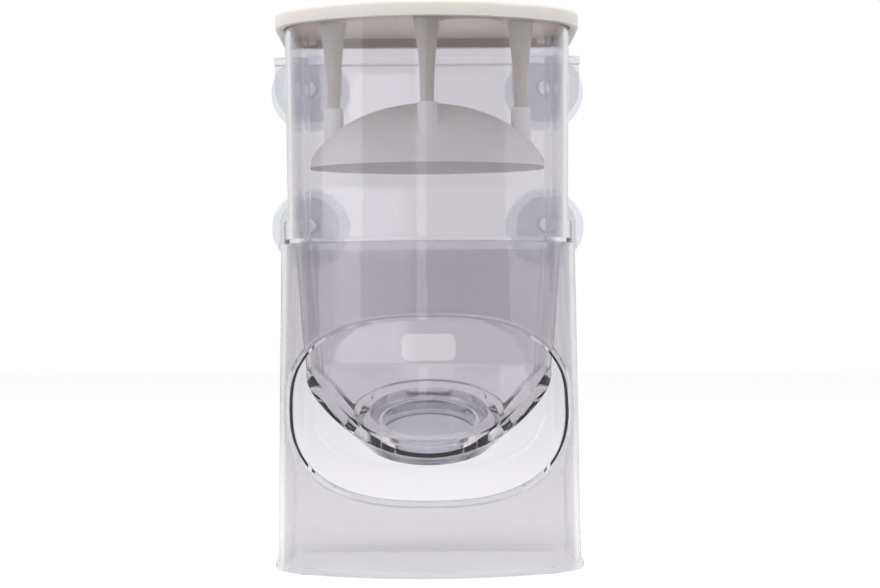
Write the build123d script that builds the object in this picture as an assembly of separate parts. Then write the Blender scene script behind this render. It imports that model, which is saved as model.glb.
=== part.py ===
from build123d import *
import os
from math import cos, pi, radians, sin, sqrt, tan

os.makedirs("parts", exist_ok=True)

# Brine shrimp hatchery, in millimetres, +Z up, seen from the front along +Y.
# A clear D-shaped vessel with a sloping hopper stands in a clear D-shaped shell.
# Four suction cups hold it to the tank glass, and its white lid carries a white dome.

# Plan of the shell at its base: a wide front arc, two corner arcs and a flat back
half_width = 58.0
depth = 89.0
front_radius = 78.0
corner_radius = 28.0
back_radius = 8.0

# Lower shell
shell_height = 123.2
shell_wall = 2.0
shell_lean = 1.8  # how far its sides and front lean in on the way up
back_lean = 0.8
foot_height = 2.4
foot_proud = 1.0
window_half_width = 51.0
window_half_height = 33.0
window_height = 61.3  # middle of the oval window above the base
window_power = 2.6  # 2 is an ellipse, more is squarer
bead_width = 2.6
bead_proud = 1.2
bead_bevel = 0.75  # of its height
flute_height = 16.0
flute_top = 2.0
flute_bottom = 4.0
flute_proud = 0.7
slot_width = 22.0
slot_height = 11.0
slot_middle = 83.5

# Hatching vessel: how far each level lies inside the plan of the shell's base
vessel_wall = 1.8
vessel_top = 208.8
top_inset = 3.6
band_inset = 4.4
collar_inset = 2.8
collar_height = 8.4
collar_back = 0.8  # how far the collar stands behind the vessel's back wall
shoulder_inset = 7.0
hopper_inset = 11.0
vessel_back_inset = 3.0
vessel_back_radius = 6.0
lower_back_inset = 4.0
fold_height = 77.0  # where the back wall folds into the hopper
hopper_facet = 18.0  # half the width of the middle back facet at the fold

# Round neck at the bottom of the hopper, leaning back
neck_tilt = 21.8
neck_depth = 37.0  # of its rim's middle behind the shell's front
neck_rise = 59.6
neck_bore = 22.5
neck_ledge = 19.5
neck_socket = 5.0
neck_length = 11.0
neck_wall = 2.5
funnel_steepness = 47.0  # degrees from the neck's rim plane
funnel_start = 28.5  # inner radius where the funnel meets the neck's rim
funnel_lap = 1.0  # how far above the funnel's end its back facets run out
stopper_wall = 1.6
stopper_play = 0.3

# Rails and ears on the vessel's back, and the suction cups in them
ear_gap = 4.2
ear_plate = 2.4
rail_height = 3.1
rail_above_cup = 12.6
upper_ear_reach = 62.3
lower_ear_reach = 60.7
cup_offset = 48.6
upper_cup_height = 189.2
lower_cup_height = 133.0
cup_radius = 16.2
cup_height = 11.0
cup_lip = 0.8
cup_wall = 1.5
cup_crown = 4.6  # from the ear's side to the middle of the hollow
cup_boss = 5.5
cup_neck = 2.6
cup_head = 4.0
cup_head_length = 2.6

# Lid with its filling port and hole for an air line
lid_plate = 2.2
lid_skirt = 3.0
lid_drop = 3.6
lid_play = 0.5
lid_rounding = 1.6
lug_size = 8.0
lug_drop = 3.0
port_radius = 12.5
port_across = 16.0
port_depth = 33.0
port_drop = 2.0
port_flange = 1.8
port_overhang = 1.5
port_wall = 1.6
grip_width = 2.4
air_hole = 2.3
air_across = -12.7
air_depth = 42.0

# Dome and the three hanger legs that hold it under the lid
dome_half_width = 46.0
dome_half_depth = 31.0
dome_depth = 45.0
dome_rim = 153.0
dome_rise = 25.0
dome_drop = 8.0  # how far the dome's ball has its middle below the rim
dome_wall = 2.0
socket_radius = 3.75
socket_top = 176.0
socket_floor = 168.0
side_leg_reach = 36.0
front_leg_reach = 23.0
leg_radius = 2.5
leg_root = 5.2
leg_flare = 32.0
leg_tip = 0.8

# Clearances
slide_gap = 0.3
seat_gap = 0.2
fit_gap = 0.08

back_reach = ear_gap + ear_plate - vessel_back_inset + cup_height + seat_gap
front = -(depth + foot_proud + back_reach) / 2 + foot_proud
back = front + depth
vessel_back = back - vessel_back_inset
ear_face = vessel_back + ear_gap
shoulder = shell_height + seat_gap
collar_top = shoulder + collar_height
lid_under = vessel_top + seat_gap
lid_top = lid_under + lid_plate
dome_middle = front + dome_depth
neck_up = (0, -sin(radians(neck_tilt)), cos(radians(neck_tilt)))
neck = Plane((0, front + neck_depth, neck_rise), x_dir=(1, 0, 0), z_dir=neck_up)


def plan_points(inset, back_inset, radius):
    """Joints of the D plan on its right side, drawn in by an inset from the base."""
    side = half_width - inset
    wide = front_radius - inset
    small = corner_radius - inset
    arc_middle = front + front_radius
    small_middle = arc_middle - sqrt((wide - small) ** 2 - (side - small) ** 2)
    share = wide / (wide - small)
    meet_x = (side - small) * share
    meet_y = arc_middle + (small_middle - arc_middle) * share
    rear = back - back_inset
    return side, wide, small, small_middle, meet_x, meet_y, rear, radius


def plan_edges(inset, back_inset, radius, facet=0.0):
    """The D plan as edges in turn from the back, with a facet's ends where asked."""
    side, wide, small, small_y, meet_x, meet_y, rear, bend = plan_points(
        inset, back_inset, radius
    )
    nose = front + inset
    slant = sqrt(0.5)
    knee_x = side - small + small * slant
    knee_y = small_y - small * slant
    heel_x = side - bend + bend * slant
    heel_y = rear - bend + bend * slant
    flat = side - bend
    if facet:
        edges = [
            Line((-facet, rear), (facet, rear)),
            Line((facet, rear), (flat, rear)),
        ]
    else:
        edges = [Line((-flat, rear), (flat, rear))]
    edges += [
        ThreePointArc((flat, rear), (heel_x, heel_y), (side, rear - bend)),
        Line((side, rear - bend), (side, small_y)),
        ThreePointArc((side, small_y), (knee_x, knee_y), (meet_x, meet_y)),
        ThreePointArc((meet_x, meet_y), (0, nose), (-meet_x, meet_y)),
        ThreePointArc((-meet_x, meet_y), (-knee_x, knee_y), (-side, small_y)),
        Line((-side, small_y), (-side, rear - bend)),
        ThreePointArc((-side, rear - bend), (-heel_x, heel_y), (-flat, rear)),
    ]
    if facet:
        edges.append(Line((-flat, rear), (-facet, rear)))
    return edges


def plan_wire(height, inset, back_inset, radius):
    """The D plan as a closed wire at one height."""
    return Pos(0, 0, height) * Wire(plan_edges(inset, back_inset, radius))


def plan_block(low, high, low_plan, high_plan=None):
    """Solid between two heights, straight or leaning from one D plan to another."""
    wires = [plan_wire(low, *low_plan), plan_wire(high, *(high_plan or low_plan))]
    return Solid.make_loft(wires, ruled=True)


def inner(plan, wall):
    """The same D plan one wall further in."""
    inset, back_inset, radius = plan
    return inset + wall, back_inset + wall, radius - wall


# Lower shell: leaning wall, foot flange, oval window with its bead, rear slot
shell_base = (0.0, 0.0, back_radius)
shell_rim = (shell_lean, back_lean, back_radius - shell_lean)


def shell_plan(height, wall=0.0):
    """The shell's D plan at any height, drawn in by a wall."""
    share = height / shell_height
    inset = shell_lean * share + wall
    rear = back_lean * share + wall
    return inset, rear, back_radius - shell_lean * share - wall


def oval(grow):
    """The squared oval of the window, grown outward on both half axes."""
    across = window_half_width + grow
    up = window_half_height + grow
    power = 2 / window_power
    points = []
    for step in range(32):
        angle = radians(step * 360 / 32)
        x = abs(cos(angle)) ** power * (1 if cos(angle) >= 0 else -1)
        z = abs(sin(angle)) ** power * (1 if sin(angle) >= 0 else -1)
        points.append((across * x, up * z))
    return make_face(Wire([Spline(*points, periodic=True)]))


def through_front(face):
    """A flat shape carried from well before the front to past the corner arcs."""
    start = Plane((0, front - 5, window_height), x_dir=(1, 0, 0), z_dir=(0, 1, 0))
    # The plane's own y then points down, which the oval's symmetry hides
    return extrude(start * face, amount=corner_radius * 2)


low_skin = window_height - window_half_height - 2 * bead_width
high_skin = window_height + window_half_height + 2 * bead_width
lower_shell = plan_block(0, shell_height, shell_base, shell_rim)
lower_shell += plan_block(
    0, foot_height, (-foot_proud, -foot_proud, back_radius + foot_proud)
)
lower_shell -= plan_block(
    -1, shell_height + 1, shell_plan(-1, shell_wall), shell_plan(shell_height + 1, shell_wall)
)
lower_shell -= through_front(oval(0))
bead_skin = plan_block(
    low_skin, high_skin, shell_plan(low_skin, -bead_proud), shell_plan(high_skin, -bead_proud)
) - plan_block(
    low_skin - 1,
    high_skin + 1,
    shell_plan(low_skin - 1, shell_wall / 2),
    shell_plan(high_skin + 1, shell_wall / 2),
)
bead = bead_skin & (through_front(oval(bead_width)) - through_front(oval(0)))
bead_front = bead.faces().filter_by(GeomType.CONE).sort_by(
    lambda face: face.center().Y - abs(face.center().X) / 2
)[:4]
# Seams between the front faces are short, and the rims to bevel are long
bead_rims = [
    edge for face in bead_front for edge in face.edges() if edge.length > 3 * bead_width
]
lower_shell += chamfer(bead_rims, bead_bevel * bead_proud)
flute_low = window_height + window_half_height + bead_width / 2
flute_high = flute_low + flute_height
flute = loft(
    [
        Pos(0, front + shell_plan(flute_low)[0], flute_low)
        * Rectangle(flute_bottom, 2 * flute_proud),
        Pos(0, front + shell_plan(flute_high)[0], flute_high)
        * Rectangle(flute_top, flute_proud),
    ]
)
lower_shell += flute
slot_place = Plane((0, back + 5, slot_middle), x_dir=(1, 0, 0), z_dir=(0, -1, 0))
slot_cut = extrude(
    slot_place * RectangleRounded(slot_width, slot_height, 3), amount=5 + shell_wall + 5
)
lower_shell -= slot_cut


# Hatching vessel: hopper and neck below, collar on the shell's rim, open top
top_plan = (top_inset, vessel_back_inset, vessel_back_radius)
band_plan = (band_inset, vessel_back_inset, vessel_back_radius)
collar_plan = (collar_inset, vessel_back_inset - collar_back, vessel_back_radius + 1)
shoulder_plan = (shoulder_inset, lower_back_inset, vessel_back_radius)
hopper_plan = (hopper_inset, lower_back_inset, vessel_back_radius)


def ring_wire(radius, drop):
    """A circle square to the neck, its ten arcs paired with the joints of the D plan."""
    stops = (180, 0, -8, -18, -36, -66, -114, -144, -162, -172, -180)
    edges = []
    for start, end in zip(stops, stops[1:]):
        turns = [radians(angle) for angle in (start, (start + end) / 2, end)]
        ends = [(radius * cos(turn), radius * sin(turn)) for turn in turns]
        edges.append(ThreePointArc(*ends))
    return neck * (Pos(0, 0, -drop) * Wire(edges))


def hopper_block(height, high_plan, low_plan, radius, drop):
    """From one D plan down to another at the fold, and on to the neck's circle."""
    level = Pos(0, 0, height) * Wire(plan_edges(*high_plan, facet=hopper_facet))
    fold = Pos(0, 0, fold_height) * Wire(plan_edges(*low_plan, facet=hopper_facet))
    return Solid.make_loft([level, fold, ring_wire(radius, drop)], ruled=True)


def funnel_block(low_plan, radius, drop):
    """What a cone about the neck keeps of the D plan's block below the fold."""
    reach = 2 * half_width
    cone = neck * Pos(0, 0, -drop) * Cone(
        radius,
        radius + reach / tan(radians(funnel_steepness)),
        reach,
        align=(Align.CENTER, Align.CENTER, Align.MIN),
    )
    return plan_block(fold_height / 4, fold_height, low_plan) & cone


def neck_rod(radius, top, bottom):
    """A rod along the neck between two depths below its rim."""
    return extrude(neck * (Pos(0, 0, -bottom) * Circle(radius)), amount=bottom - top)


def ear(height, reach, rail_middle):
    """A rail across the back, and at each end an ear that rounds off past its cup."""
    away = 1 if height > rail_middle else -1
    half = reach - cup_offset
    plate_middle = ear_face + ear_plate / 2
    bar = Pos(0, (vessel_back + ear_face + ear_plate) / 2, rail_middle) * Box(
        2 * reach, ear_face + ear_plate - vessel_back, rail_height
    )
    for side in (-1, 1):
        web = abs(height - rail_middle) + rail_height / 2
        web_middle = (height + rail_middle - away * rail_height / 2) / 2
        bar += Pos(side * cup_offset, plate_middle, web_middle) * Box(2 * half, ear_plate, web)
        disc = Pos(side * cup_offset, plate_middle, height) * Rot(90, 0, 0)
        beyond = Pos(side * cup_offset, plate_middle, height + away * half / 2)
        bar += disc * Cylinder(half, ear_plate) & beyond * Box(2 * half, ear_plate, half)
        bar -= disc * Cylinder(cup_neck + fit_gap, 2 * ear_plate)
    return bar


upper_rail = upper_cup_height + rail_above_cup - rail_height / 2
lower_rail = shoulder + rail_height / 2
neck_outside = neck_bore + neck_wall
hatching_vessel = hopper_block(
    shoulder, shoulder_plan, hopper_plan, neck_outside, neck_length - funnel_lap
)
hatching_vessel += funnel_block(hopper_plan, neck_outside, neck_length)
hatching_vessel += plan_block(shoulder, collar_top, collar_plan)
hatching_vessel += plan_block(collar_top, vessel_top, band_plan, top_plan)
hatching_vessel += ear(upper_cup_height, upper_ear_reach, upper_rail)
hatching_vessel += ear(lower_cup_height, lower_ear_reach, lower_rail)
step = shoulder + vessel_wall
hatching_vessel -= hopper_block(
    step,
    inner(shoulder_plan, vessel_wall),
    inner(hopper_plan, vessel_wall),
    neck_outside,
    -funnel_lap,
)
hatching_vessel -= funnel_block(inner(hopper_plan, vessel_wall), funnel_start, 0)
hatching_vessel -= plan_block(
    step, vessel_top, inner(band_plan, vessel_wall), inner(top_plan, vessel_wall)
)
hatching_vessel -= neck_rod(neck_bore, 0, neck_socket)
hatching_vessel -= neck_rod(neck_ledge, 0, neck_length + 1)


# Outlet stopper: a shallow cup whose flange sits on the ledge in the neck
def turned_piece(points, place):
    """A solid turned about an axis from (radius, height) points."""
    outline = make_face(Polyline(*points, close=True))
    return place * revolve(Plane.XZ * outline, Axis.Z)


flange = neck_bore - stopper_play
plug = neck_ledge - stopper_play
sole = neck_length - neck_socket
outlet_stopper = turned_piece(
    [
        (0, -sole),
        (plug, -sole),
        (plug, seat_gap),
        (flange, seat_gap),
        (flange, seat_gap + stopper_wall),
        (plug - stopper_wall, seat_gap + stopper_wall),
        (plug - stopper_wall, stopper_wall - sole),
        (0, stopper_wall - sole),
    ],
    neck * Pos(0, 0, -neck_socket),
)


# Suction cups: head and neck through the ear, boss, and a thin bell to its lip
def suction_cup(side, height):
    """One cup with its axis along Y and its lip to the rear."""
    throat = ear_plate + 2 * seat_gap
    inside = cup_radius - cup_wall
    hollow = cup_height - cup_crown
    ball = (inside**2 + hollow**2) / (2 * hollow)
    with BuildSketch(Plane.XZ) as profile:
        with BuildLine():
            Polyline(
                (0, -throat - cup_head_length),
                (cup_head * 0.6, -throat - cup_head_length),
                (cup_head, -throat - cup_head_length * 0.4),
                (cup_head, -throat),
                (cup_neck, -throat),
                (cup_neck, 0),
                (cup_boss, 0),
                (cup_boss, cup_height * 0.25),
            )
            ThreePointArc(
                (cup_boss, cup_height * 0.25),
                (cup_radius * 0.72, cup_height * 0.5),
                (cup_radius, cup_height - cup_lip),
            )
            Polyline(
                (cup_radius, cup_height - cup_lip),
                (cup_radius, cup_height),
                (inside, cup_height),
            )
            ThreePointArc(
                (inside, cup_height),
                (inside / 2, cup_crown + ball - sqrt(ball**2 - inside**2 / 4)),
                (0, cup_crown),
            )
            Line((0, cup_crown), (0, -throat - cup_head_length))
        make_face()
    place = Pos(side * cup_offset, ear_face + ear_plate + seat_gap, height)
    return place * Rot(-90, 0, 0) * revolve(profile.sketch, Axis.Z)


cups = {}
for level, height in (("upper", upper_cup_height), ("lower", lower_cup_height)):
    for hand, side in (("left", -1), ("right", 1)):
        cups[f"suction_cup_{level}_{hand}"] = suction_cup(side, height)


# Lid: plate and skirt over the vessel's rim, two lugs, port and air hole
skirt_plan = (
    top_inset - lid_play,
    vessel_back_inset - lid_play,
    vessel_back_radius + lid_play,
)
lid_plan = inner(skirt_plan, -lid_skirt)
lid = plan_block(lid_under - lid_drop, lid_top, lid_plan)
lid = fillet(lid.edges().group_by(Axis.Z)[-1], lid_rounding)
lid -= plan_block(lid_under - lid_drop - 1, lid_under, skirt_plan)
lug_across = half_width - top_inset - vessel_wall - slide_gap - lug_size / 2
lug_back = vessel_back - vessel_wall - slide_gap - lug_size / 2
for side in (-1, 1):
    lug = Pos(side * lug_across, lug_back, lid_under - lug_drop / 2) * Cylinder(
        lug_size / 2, lug_drop
    )
    lid += fillet(lug.edges().group_by(Axis.Z)[0], lug_drop / 3)
port_place = Pos(port_across, front + port_depth, 0)
lid -= port_place * Pos(0, 0, lid_under) * Cylinder(port_radius + slide_gap, 4 * lid_plate)
lid -= Pos(air_across, front + air_depth, lid_under) * Cylinder(air_hole, 4 * lid_plate)

cap_low = lid_under - port_drop
cap_high = lid_top + seat_gap
cap_rim = port_radius + port_overhang
port_cap = turned_piece(
    [
        (0, cap_low),
        (port_radius, cap_low),
        (port_radius, cap_high),
        (cap_rim, cap_high),
        (cap_rim, cap_high + port_flange),
        (port_radius - port_wall, cap_high + port_flange),
        (port_radius - port_wall, cap_low + port_wall),
        (0, cap_low + port_wall),
    ],
    port_place,
)
grip_top = cap_high + port_flange
port_cap += port_place * Pos(0, 0, (cap_low + port_wall + grip_top) / 2) * Box(
    2 * port_radius - port_wall, grip_width, grip_top - cap_low - port_wall
)


# Hanger legs: a flared root on the lid, a slim post and a tip in the dome's socket
leg_places = {
    "front": (0, dome_middle - front_leg_reach),
    "left": (-side_leg_reach, dome_middle),
    "right": (side_leg_reach, dome_middle),
}


def hanger_leg(place):
    """One leg turned about its own upright axis."""
    foot = socket_floor + slide_gap
    flare_low = lid_under - leg_flare
    with BuildSketch(Plane.XZ) as profile:
        with BuildLine():
            Polyline(
                (0, lid_under),
                (0, foot),
                (leg_radius - leg_tip, foot),
                (leg_radius, foot + leg_tip),
                (leg_radius, flare_low),
            )
            ThreePointArc(
                (leg_radius, flare_low),
                (leg_radius + (leg_root - leg_radius) * 0.35, lid_under - leg_flare * 0.42),
                (leg_root, lid_under),
            )
            Line((leg_root, lid_under), (0, lid_under))
        make_face()
    return Pos(*place, 0) * revolve(profile.sketch, Axis.Z)


# Dome: an oval bowl upside down, with three upright sockets on its top
def bowl(half_long, half_short, rise):
    """A solid cap of a ball, stretched to an oval rim."""
    ball = rise + dome_drop
    rim = sqrt(ball**2 - dome_drop**2)
    with BuildSketch(Plane.XZ) as profile:
        with BuildLine():
            Polyline((0, rise), (0, 0), (rim, 0))
            ThreePointArc((rim, 0), (ball * sin(pi / 4), ball * cos(pi / 4) - dome_drop), (0, rise))
        make_face()
    round_bowl = revolve(profile.sketch, Axis.Z)
    stretched = scale(round_bowl, by=(half_long / rim, half_short / rim, 1))
    return Pos(0, dome_middle, dome_rim) * stretched


shade_dome = bowl(dome_half_width, dome_half_depth, dome_rise)
for place in leg_places.values():
    shade_dome += Pos(*place, (dome_rim + socket_top) / 2) * Cylinder(
        socket_radius, socket_top - dome_rim
    )
shade_dome -= bowl(
    dome_half_width - dome_wall, dome_half_depth - dome_wall, dome_rise - dome_wall
)
for place in leg_places.values():
    shade_dome -= Pos(*place, (socket_floor + socket_top + 1) / 2) * Cylinder(
        leg_radius + fit_gap, socket_top + 1 - socket_floor
    )


pieces = {
    "lower_shell": lower_shell,
    "hatching_vessel": hatching_vessel,
    "outlet_stopper": outlet_stopper,
    "lid": lid,
    "port_cap": port_cap,
    "shade_dome": shade_dome,
    **{f"hanger_leg_{name}": hanger_leg(place) for name, place in leg_places.items()},
    **cups,
}
for name, piece in pieces.items():
    export_step(piece, f"parts/{name}.step")
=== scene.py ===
import bpy
import math
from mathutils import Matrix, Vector


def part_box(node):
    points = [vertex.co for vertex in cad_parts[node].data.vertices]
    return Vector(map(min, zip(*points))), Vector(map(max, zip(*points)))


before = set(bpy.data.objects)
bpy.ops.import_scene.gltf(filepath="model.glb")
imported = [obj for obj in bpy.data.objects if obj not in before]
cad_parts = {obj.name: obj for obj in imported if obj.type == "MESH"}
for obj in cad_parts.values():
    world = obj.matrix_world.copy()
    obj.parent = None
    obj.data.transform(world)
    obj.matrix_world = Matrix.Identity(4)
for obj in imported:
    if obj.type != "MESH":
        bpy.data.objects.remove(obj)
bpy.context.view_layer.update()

# Studio: a white sweep behind, a pale floor, soft boxes and a level camera.
# The floor and world are white to the camera, through clear plastic and in its
# reflections, while the light on the object stays at a plain level.


def linear(hex_colour):
    """An sRGB hex value such as "#d0d0d0" as linear red, green, blue, alpha."""
    parts = [int(hex_colour[i : i + 2], 16) / 255 for i in (1, 3, 5)]
    curve = [p / 12.92 if p <= 0.04045 else ((p + 0.055) / 1.055) ** 2.4 for p in parts]
    return (*curve, 1.0)


def add(tree, kind, settings=None, links=None):
    """A shader node with its settings and values, and its inputs linked from sockets."""
    node = tree.nodes.new(kind)
    for name, value in (settings or {}).items():
        if isinstance(name, int) or name in node.inputs:
            node.inputs[name].default_value = value
        else:
            setattr(node, name, value)
    for name, socket in (links or {}).items():
        tree.links.new(socket, node.inputs[name])
    return node


def new_tree(name):
    """An empty material and its node tree."""
    material = bpy.data.materials.new(name)
    material.use_nodes = True
    material.node_tree.nodes.clear()
    return material, material.node_tree


def background_rays(tree):
    """1 for rays that show the background: seen, refracted or reflected ones."""
    rays = add(tree, "ShaderNodeLightPath")
    through = add(
        tree,
        "ShaderNodeMath",
        {"operation": "MAXIMUM"},
        {0: rays.outputs["Is Camera Ray"], 1: rays.outputs["Is Transmission Ray"]},
    )
    seen = add(
        tree,
        "ShaderNodeMath",
        {"operation": "MAXIMUM"},
        {0: through.outputs[0], 1: rays.outputs["Is Glossy Ray"]},
    )
    return seen.outputs[0]


scene = bpy.context.scene
scene.view_settings.view_transform = "Standard"

light_from_front = 0.45
light_from_back = 0.8
world = bpy.data.worlds.new("white_sweep")
scene.world = world
world.use_nodes = True
sky = world.node_tree
sky.nodes.clear()
toward = add(sky, "ShaderNodeTexCoord")
heading = add(sky, "ShaderNodeSeparateXYZ", links={"Vector": toward.outputs["Generated"]})
room = add(
    sky,
    "ShaderNodeMapRange",
    {"From Min": -0.7, "From Max": 0.55, "To Min": light_from_front, "To Max": light_from_back},
    {"Value": heading.outputs["Y"]},
)
strength = add(
    sky,
    "ShaderNodeMix",
    {"data_type": "FLOAT"},
    {0: background_rays(sky), 2: room.outputs["Result"]},
)
strength.inputs[3].default_value = 1.0
ground = add(
    sky, "ShaderNodeBackground", {"Color": linear("#ffffff")}, {"Strength": strength.outputs[0]}
)
add(sky, "ShaderNodeOutputWorld", links={"Surface": ground.outputs[0]})

floor_half = 3.0
floor_glow = 0.6
floor_mesh = bpy.data.meshes.new("studio_floor")
floor_mesh.from_pydata(
    [(x * floor_half, y * floor_half, 0) for x, y in ((-1, -1), (1, -1), (1, 1), (-1, 1))],
    [],
    [(0, 1, 2, 3)],
)
studio_floor = bpy.data.objects.new("studio_floor", floor_mesh)
scene.collection.objects.link(studio_floor)
paper, tree = new_tree("white_paper_sweep")
matte = add(tree, "ShaderNodeBsdfDiffuse", {"Color": linear("#c8c8c8")})
glow_level = add(
    tree, "ShaderNodeMath", {"operation": "MULTIPLY", 1: floor_glow}, {0: background_rays(tree)}
)
glow = add(
    tree,
    "ShaderNodeEmission",
    {"Color": linear("#ffffff")},
    {"Strength": glow_level.outputs[0]},
)
both = add(tree, "ShaderNodeAddShader", links={0: matte.outputs[0], 1: glow.outputs[0]})
add(tree, "ShaderNodeOutputMaterial", links={"Surface": both.outputs[0]})
floor_mesh.materials.append(paper)


def soft_box(name, place, aim, width, height, power, tint="#ffffff"):
    """A rectangular lamp turned towards a point on the object."""
    lamp = bpy.data.lights.new(name, "AREA")
    lamp.shape = "RECTANGLE"
    lamp.size = width
    lamp.size_y = height
    lamp.energy = power
    lamp.color = linear(tint)[:3]
    holder = bpy.data.objects.new(name, lamp)
    holder.location = place
    turn = (Vector(aim) - Vector(place)).to_track_quat("-Z", "Y")
    holder.rotation_euler = turn.to_euler()
    holder.visible_glossy = False
    scene.collection.objects.link(holder)


middle = (0.0, 0.0, 0.11)
soft_box("soft_box_left", (-0.75, -0.55, 0.45), middle, 0.5, 0.8, 3.5)
soft_box("soft_box_right", (0.85, -0.45, 0.40), middle, 0.5, 0.8, 2.5)
soft_box("soft_box_top", (0.0, -0.1, 0.95), middle, 0.7, 0.5, 4.0)
soft_box("strip_box_front", (-0.1, -1.5, 0.35), middle, 0.16, 1.2, 1.5)

focal_px = 1950.0
photo_width_px = 880.0
horizon_below_middle_px = 30.0
object_left_of_middle_px = 11.5
camera_distance = 0.709
wall_before_front = 0.001
eye_height = 0.0928
roll_degrees = 0.34
camera_data = bpy.data.cameras.new("camera")
camera_data.sensor_width = 36.0
camera_data.lens = focal_px / photo_width_px * camera_data.sensor_width
camera_data.shift_x = object_left_of_middle_px / photo_width_px
camera_data.shift_y = horizon_below_middle_px / photo_width_px
camera = bpy.data.objects.new("camera", camera_data)
shell_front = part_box("lower_shell")[0].y
camera.location = (0.0, shell_front + wall_before_front - camera_distance, eye_height)
camera.rotation_euler = (math.radians(90), math.radians(roll_degrees), 0)
scene.collection.objects.link(camera)
scene.camera = camera


# Lower shell: clear polystyrene, injection moulded, so its faces are glossy with a
# slight ripple. It stands on its flange and carries the vessel on its top rim.
haze_mm = 9.0


def clear_moulding(name, tint, ripple_mm, ripple_depth_mm, roughness, ior):
    """Glossy clear plastic with a slow ripple in its faces and faint haze."""
    material, tree = new_tree(name)
    place = add(tree, "ShaderNodeTexCoord")
    ripple = add(
        tree,
        "ShaderNodeTexNoise",
        {"Scale": 1000 / ripple_mm, "Detail": 1.5, "Roughness": 0.4},
        {"Vector": place.outputs["Object"]},
    )
    haze = add(
        tree,
        "ShaderNodeTexNoise",
        {"Scale": 1000 / haze_mm, "Detail": 4.0, "Roughness": 0.6},
        {"Vector": place.outputs["Object"]},
    )
    soft = add(
        tree,
        "ShaderNodeMapRange",
        {"From Min": 0.3, "From Max": 0.7, "To Min": roughness * 0.6, "To Max": roughness * 1.5},
        {"Value": haze.outputs["Fac"]},
    )
    bump = add(
        tree,
        "ShaderNodeBump",
        {"Strength": 1.0, "Distance": ripple_depth_mm / 1000},
        {"Height": ripple.outputs["Fac"]},
    )
    body = add(
        tree,
        "ShaderNodeBsdfPrincipled",
        {"Base Color": linear(tint), "IOR": ior, "Transmission Weight": 1.0},
        {"Roughness": soft.outputs["Result"], "Normal": bump.outputs["Normal"]},
    )
    add(tree, "ShaderNodeOutputMaterial", links={"Surface": body.outputs[0]})
    return material


def finish_node(name, material):
    """Gives a CAD node its finish."""
    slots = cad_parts[name].data.materials
    slots.clear()
    slots.append(material)


clear_styrene = clear_moulding("clear_polystyrene_moulded", "#dfdde1", 26.0, 0.12, 0.04, 1.49)
finish_node("lower_shell", clear_styrene)


# Hatching vessel: clear polystyrene, injection moulded, thinner than the shell and a
# little brighter. It stands by its collar on the shell's rim.
vessel_styrene = clear_moulding("clear_vessel_polystyrene", "#e2e0e4", 32.0, 0.10, 0.05, 1.49)
finish_node("hatching_vessel", vessel_styrene)


# Outlet stopper: a small cup moulded in clear polypropylene, softer in its gloss.
# Its flange sits on the ledge in the vessel's neck.
stopper_plastic = clear_moulding("clear_stopper_polypropylene", "#e6e7ec", 14.0, 0.05, 0.08, 1.49)
finish_node("outlet_stopper", stopper_plastic)


# Suction cups: soft clear vinyl, moulded in one piece with their heads. They look
# slightly milky where the wall is thick.
clear_vinyl = clear_moulding("clear_soft_vinyl", "#dfe2e8", 8.0, 0.04, 0.12, 1.5)
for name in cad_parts:
    if name.startswith("suction_cup"):
        finish_node(name, clear_vinyl)


# Lid and port cap: white polypropylene, satin from a fine spark-eroded mould. Light
# from above bleeds through the thin lid. The cap drops into the lid's filling port.
mottle_mm = 30.0


def white_moulding(name, tint, grain_mm, grain_depth_mm, roughness, glow_mm=1.0):
    """White plastic with a fine mould grain, slight mottling and light bleeding through."""
    material, tree = new_tree(name)
    place = add(tree, "ShaderNodeTexCoord")
    grain = add(
        tree,
        "ShaderNodeTexNoise",
        {"Scale": 1000 / grain_mm, "Detail": 2.0},
        {"Vector": place.outputs["Object"]},
    )
    cloud = add(
        tree,
        "ShaderNodeTexNoise",
        {"Scale": 1000 / mottle_mm, "Detail": 3.0},
        {"Vector": place.outputs["Object"]},
    )
    base = linear(tint)
    shade = add(tree, "ShaderNodeMix", {"data_type": "RGBA"}, {0: cloud.outputs["Fac"]})
    shade.inputs[6].default_value = tuple(c * 0.965 for c in base[:3]) + (1.0,)
    shade.inputs[7].default_value = base
    bump = add(
        tree,
        "ShaderNodeBump",
        {"Strength": 0.6, "Distance": grain_depth_mm / 1000},
        {"Height": grain.outputs["Fac"]},
    )
    body = add(
        tree,
        "ShaderNodeBsdfPrincipled",
        {
            "Roughness": roughness,
            "IOR": 1.49,
            "Subsurface Weight": 0.8,
            "Subsurface Scale": glow_mm / 1000,
            "Subsurface Radius": (1.0, 0.8, 0.65),
        },
        {"Base Color": shade.outputs[2], "Normal": bump.outputs["Normal"]},
    )
    add(tree, "ShaderNodeOutputMaterial", links={"Surface": body.outputs[0]})
    return material


lid_plastic = white_moulding("white_polypropylene_satin", "#dedbd8", 0.8, 0.01, 0.38, 5.0)
finish_node("lid", lid_plastic)
finish_node("port_cap", lid_plastic)


# Hanger legs: white polypropylene, moulded with a flared root that meets the lid.
# Their tips push into the dome's sockets.
# Their tint is the lid's white made darker and warmer: painted shade and painted warm light from
# under the lid.
leg_plastic_painted_shade = white_moulding("white_polypropylene_painted_shade", "#d4cdc5", 0.8, 0.01, 0.42)
for name in ("hanger_leg_front", "hanger_leg_left", "hanger_leg_right"):
    finish_node(name, leg_plastic_painted_shade)


# Shade dome: white polypropylene, moulded as a thin oval bowl, smooth and satin.
# It hangs by its three sockets from the legs.
dome_plastic = white_moulding("white_dome_polypropylene", "#f4f3f3", 0.9, 0.01, 0.4)
finish_node("shade_dome", dome_plastic)
